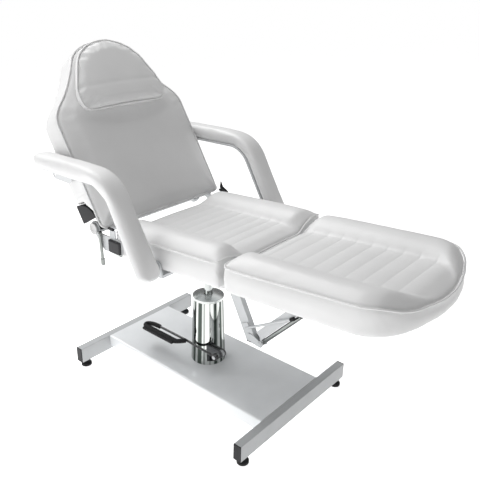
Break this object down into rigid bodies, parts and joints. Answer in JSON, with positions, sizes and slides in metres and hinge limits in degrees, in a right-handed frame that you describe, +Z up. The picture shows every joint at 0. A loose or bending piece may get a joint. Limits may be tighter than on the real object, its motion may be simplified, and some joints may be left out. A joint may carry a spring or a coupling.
{
  "type": "hydraulic beauty chair",
  "caption": "Padded treatment chair with a pedal-pumped column, swivelling seat, reclining back, linked armrests and a folding leg rest.",
  "frame": {"origin": "on the floor under the axis of the lifting column, which is the seat's swivel axis", "axes": "+X towards the leg rest's free end, +Y to the sitter's left, +Z up"},
  "size_m": [1.5081, 0.752, 1.1909],
  "materials": {
    "white_vinyl": "smooth wipe-clean upholstery vinyl, satin",
    "pad_skin": "moulded armrest skin, satin",
    "plate_paint": "glossy pale blue-grey paint",
    "frame_paint": "satin silver-grey powder coat",
    "strap_paint": "satin light grey powder coat",
    "chrome": "bright chrome",
    "pin_steel": "turned and zinc plated",
    "spring_paint": "gloss black",
    "pump_iron": "painted casting",
    "bush_brass": "turned",
    "black_plastic": "moulded, matt",
    "housing_plastic": "moulded, fine satin",
    "white_plastic": "moulded, satin",
    "black_rubber": "moulded rubber",
    "plywood": "birch plywood, plain edges"
  },
  "bodies": {
    "base": {"base_plate": "plate_paint", "rear_floor_tube": "frame_paint", "front_floor_tube": "frame_paint", "tube_end_caps": "black_plastic", "foot_pads": "black_rubber", "foot_studs": "pin_steel", "column_cover": "chrome", "column_cap": "chrome", "pump_body": "pump_iron", "pump_bolts": "pin_steel", "guide_bush": "bush_brass", "pedal_bracket": "pump_iron"},
    "lift": {"piston_head": "pump_iron", "piston_rod": "chrome"},
    "pedal": {"pedal_rod": "spring_paint", "pedal_crank": "pin_steel", "pedal_grip": "black_rubber"},
    "plunger": {"pump_plunger": "pin_steel"},
    "seat": {"swivel_saddle": "frame_paint", "seat_rails": "frame_paint", "seat_cross_tubes": "frame_paint", "rear_beam": "frame_paint", "seat_board": "plywood", "seat_cushion": "white_vinyl", "leg_hinge_ears": "frame_paint", "leg_arm": "frame_paint", "leg_arm_cap": "black_plastic", "stay_ears": "frame_paint", "leg_stop_rod": "frame_paint", "leg_stop_buffer": "black_rubber", "hinge_tube": "frame_paint", "hinge_tube_caps": "white_plastic", "hinge_brackets": "frame_paint", "bracket_trim": "black_plastic", "lever_housing": "housing_plastic", "housing_lip": "chrome", "spring_anchor": "frame_paint", "arm_pivot_brackets": "frame_paint"},
    "leg_rest": {"leg_frame": "frame_paint", "leg_board": "plywood", "leg_cushion": "white_vinyl", "stay_bracket": "frame_paint"},
    "stay_outer": {"stay_sleeve": "frame_paint", "stay_cylinder": "chrome"},
    "stay_inner": {"stay_bar": "pin_steel", "stay_rod": "pin_steel"},
    "back": {"back_cushion": "white_vinyl", "back_panel": "white_vinyl", "recess_liner": "black_plastic", "back_frame": "frame_paint", "head_pillow": "white_vinyl", "track_pins": "pin_steel"},
    "gas_cylinder": {"spring_cylinder": "spring_paint"},
    "gas_rod": {"spring_rod": "chrome"},
    "arm_left": {"pad_left": "pad_skin", "strap_left": "strap_paint"},
    "arm_right": {"pad_right": "pad_skin", "strap_right": "strap_paint"},
    "release_lever": {"recline_lever": "chrome"}
  },
  "joints": [
    {"name": "lift_slide", "type": "slide", "parent": "base", "child": "lift", "axis": [0, 0, 1], "range_m": [-0.04, 0.11]},
    {"name": "seat_swivel", "type": "hinge", "parent": "lift", "child": "seat", "pos_m": [0, 0, 0.45], "axis": [0, 0, 1], "continuous": true},
    {"name": "leg_rest_hinge", "type": "hinge", "parent": "seat", "child": "leg_rest", "pos_m": [0.30165, 0, 0.55463], "axis": [0, 1, 0], "range_deg": [-5, 45]},
    {"name": "stay_pivot", "type": "hinge", "parent": "seat", "child": "stay_outer", "pos_m": [0.254, 0, 0.25], "axis": [0, 1, 0], "range_deg": [-3, 17]},
    {"name": "stay_slide", "type": "slide", "parent": "stay_outer", "child": "stay_inner", "axis": [0.6807, 0, 0.7325], "range_m": [-0.165, 0.022]},
    {"name": "recline_hinge", "type": "hinge", "parent": "seat", "child": "back", "pos_m": [-0.268, 0, 0.615], "axis": [0, 1, 0], "range_deg": [-58, 12]},
    {"name": "gas_foot_pivot", "type": "hinge", "parent": "seat", "child": "gas_cylinder", "pos_m": [-0.268, -0.055, 0.39867], "axis": [0, 1, 0], "range_deg": [-30, 7]},
    {"name": "gas_top_pivot", "type": "hinge", "parent": "back", "child": "gas_rod", "pos_m": [-0.42358, -0.055, 0.76532], "axis": [0, 1, 0], "range_deg": [-7, 30]},
    {"name": "arm_left_pivot", "type": "hinge", "parent": "seat", "child": "arm_left", "pos_m": [0.035, 0.286, 0.572], "axis": [0, 1, 0], "range_deg": [-19.5, 4.5]},
    {"name": "arm_right_pivot", "type": "hinge", "parent": "seat", "child": "arm_right", "pos_m": [0.035, -0.286, 0.572], "axis": [0, 1, 0], "range_deg": [-19.5, 4.5]},
    {"name": "release_lever_pivot", "type": "hinge", "parent": "seat", "child": "release_lever", "pos_m": [-0.236, -0.283, 0.606], "axis": [0, 1, 0], "range_deg": [0, 25], "stiffness_Nm_per_rad": 1.5, "springref_deg": -11.46},
    {"name": "pedal_pivot", "type": "hinge", "parent": "base", "child": "pedal", "pos_m": [0.098, -0.07, 0.156], "axis": [0, 1, 0], "range_deg": [-9, 0], "stiffness_Nm_per_rad": 30, "springref_deg": 8.59},
    {"name": "plunger_slide", "type": "slide", "parent": "base", "child": "plunger", "axis": [0, 0, 1], "range_m": [-0.0105, 0.0005]}
  ],
  "couplings": [
    {"joint": "stay_pivot", "follows": "leg_rest_hinge", "ratio": 0.338},
    {"joint": "stay_slide", "follows": "leg_rest_hinge", "m_per_rad": -0.2004},
    {"joint": "gas_foot_pivot", "follows": "recline_hinge", "ratio": 0.5},
    {"joint": "gas_top_pivot", "follows": "recline_hinge", "ratio": -0.5},
    {"joint": "arm_left_pivot", "follows": "recline_hinge", "ratio": 0.32},
    {"joint": "arm_right_pivot", "follows": "recline_hinge", "ratio": 0.32},
    {"joint": "plunger_slide", "follows": "pedal_pivot", "m_per_rad": 0.066}
  ]
}
